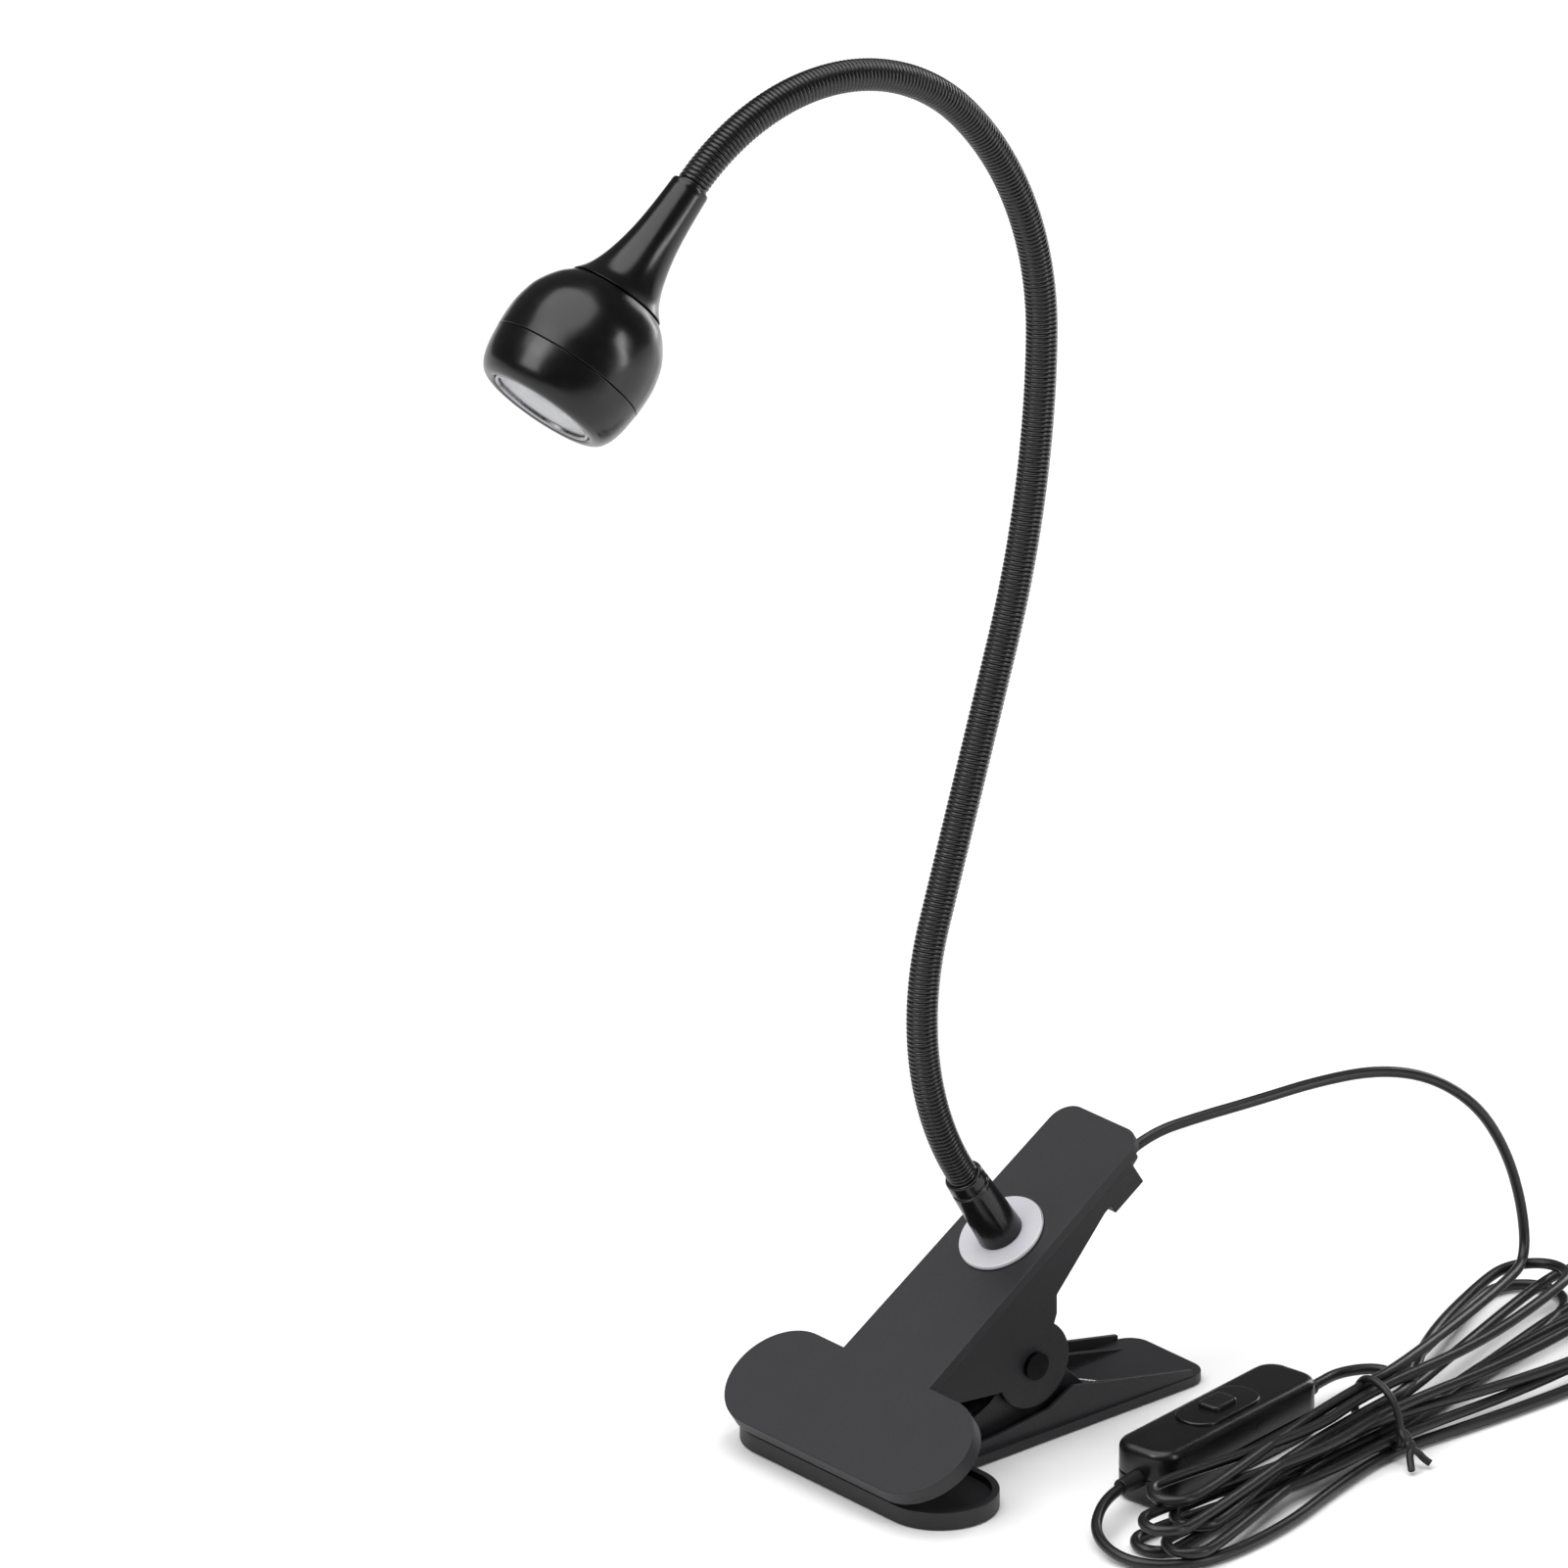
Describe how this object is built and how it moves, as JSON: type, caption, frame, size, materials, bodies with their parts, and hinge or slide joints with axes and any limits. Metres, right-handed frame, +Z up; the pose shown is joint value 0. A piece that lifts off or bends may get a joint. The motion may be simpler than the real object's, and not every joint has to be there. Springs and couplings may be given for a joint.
{
  "type": "clip-on UV curing lamp",
  "caption": "Clip-on gooseneck lamp with a bulbous LED head, spring clip, in-line push switch and a tied cord with a USB plug.",
  "frame": {"origin": "on the surface the clip stands on, straight under the pivot pin", "axes": "+X along the lower arm to the handle, -X to the jaws, +Z up, the pivot pin along Y"},
  "size_m": [0.3689, 0.1411, 0.3723],
  "materials": {
    "clip_plastic": "moulded ABS, matte",
    "pin_steel": "turned steel",
    "spring_steel": "spring wire",
    "pad_rubber": "moulded rubber",
    "washer_grey": "pale grey, smooth",
    "collar_black": "satin black",
    "zinc_steel": "zinc plated",
    "cable_black": "PVC sheath, satin",
    "tie_black": "plastic over wire",
    "neck_steel_black": "black coated steel spiral",
    "head_gloss_black": "polished black",
    "lens_clear": "clear",
    "gasket_black": "soft",
    "reflector_chrome": "metallised plastic",
    "board_white": "white solder mask",
    "emitter_yellow": "silicone dome",
    "sink_aluminium": "extruded",
    "wire_red": "insulated",
    "switch_plastic": "moulded ABS, satin",
    "button_plastic": "moulded ABS",
    "contact_brass": "stamped",
    "relief_rubber": "moulded PVC",
    "plug_plastic": "moulded PVC",
    "plug_steel": "nickel plated",
    "plug_insulator_white": "moulded"
  },
  "bodies": {
    "lower_clamp": {"lower_arm": "clip_plastic", "pivot_pin": "pin_steel", "pin_cap": "pin_steel", "torsion_spring": "spring_steel", "lower_jaw_pad": "pad_rubber", "cord_hank": "cable_black", "twist_tie": "tie_black", "lamp_lead": "cable_black", "switch_lead": "cable_black", "plug_lead": "cable_black", "plug_tail": "cable_black", "switch_base": "switch_plastic", "switch_cover": "switch_plastic", "switch_screws": "zinc_steel", "contact_block": "switch_plastic", "contact_strips": "contact_brass", "button_spring": "spring_steel", "lamp_strain_relief": "relief_rubber", "plug_strain_relief": "relief_rubber", "switch_leads": "cable_black", "plug_body": "plug_plastic", "plug_shell": "plug_steel", "plug_insulator": "plug_insulator_white"},
    "upper_clamp": {"upper_arm": "clip_plastic", "upper_jaw_pad": "pad_rubber", "neck_washer": "washer_grey", "neck_collar": "collar_black", "neck_nut": "zinc_steel", "cable_gland": "relief_rubber", "arm_lead": "cable_black", "neck_segment_0": "neck_steel_black"},
    "neck_1": {"neck_segment_1": "neck_steel_black"},
    "neck_2": {"neck_segment_2": "neck_steel_black"},
    "neck_3": {"neck_segment_3": "neck_steel_black"},
    "neck_4": {"neck_segment_4": "neck_steel_black"},
    "neck_5": {"neck_segment_5": "neck_steel_black"},
    "neck_6": {"neck_segment_6": "neck_steel_black"},
    "neck_7": {"neck_segment_7": "neck_steel_black"},
    "head": {"neck_segment_8": "neck_steel_black", "head_sleeve": "head_gloss_black", "head_shell": "head_gloss_black", "front_bezel": "head_gloss_black", "lens": "lens_clear", "lens_gasket": "gasket_black", "reflector": "reflector_chrome", "led_board": "board_white", "led_emitter": "emitter_yellow", "heat_sink": "sink_aluminium", "board_screws": "zinc_steel", "head_wires": "wire_red"},
    "switch_button": {"switch_button": "button_plastic"}
  },
  "joints": [
    {"name": "clip_hinge", "type": "hinge", "parent": "lower_clamp", "child": "upper_clamp", "pos_m": [0, 0, 0.0206], "axis": [0, 1, 0], "range_deg": [0, 30], "stiffness_Nm_per_rad": 0.6, "springref_deg": -51.57, "deforming": ["torsion_spring", "lamp_lead"]},
    {"name": "neck_bend_1", "type": "hinge", "parent": "upper_clamp", "child": "neck_1", "pos_m": [-0.02267, 0, 0.09329], "axis": [0, 1, 0], "range_deg": [-12, 16]},
    {"name": "neck_sway_1", "type": "hinge", "parent": "neck_1", "child": "neck_2", "pos_m": [-0.02519, 0, 0.12891], "axis": [-0.989, 0, 0.1482], "range_deg": [-20, 20]},
    {"name": "neck_bend_2", "type": "hinge", "parent": "neck_2", "child": "neck_3", "pos_m": [-0.0153, 0, 0.16348], "axis": [0, 1, 0], "range_deg": [-12, 16]},
    {"name": "neck_bend_3", "type": "hinge", "parent": "neck_3", "child": "neck_4", "pos_m": [0.00359, 0, 0.22462], "axis": [0, 1, 0], "range_deg": [-12, 16]},
    {"name": "neck_bend_4", "type": "hinge", "parent": "neck_4", "child": "neck_5", "pos_m": [0.01165, 0, 0.28796], "axis": [0, 1, 0], "range_deg": [-12, 16]},
    {"name": "neck_sway_2", "type": "hinge", "parent": "neck_5", "child": "neck_6", "pos_m": [0.00723, 0, 0.31549], "axis": [-0.9504, 0, -0.3111], "range_deg": [-20, 20]},
    {"name": "neck_bend_5", "type": "hinge", "parent": "neck_6", "child": "neck_7", "pos_m": [-0.00549, 0, 0.3403], "axis": [0, 1, 0], "range_deg": [-12, 16]},
    {"name": "neck_bend_6", "type": "hinge", "parent": "neck_7", "child": "head", "pos_m": [-0.04604, 0, 0.36735], "axis": [0, 1, 0], "range_deg": [-12, 16]},
    {"name": "switch_press", "type": "slide", "parent": "lower_clamp", "child": "switch_button", "axis": [0, 0, -1], "range_m": [0, 0.0015], "stiffness_N_per_m": 400, "springref_m": -0.002, "deforming": ["button_spring"]}
  ]
}
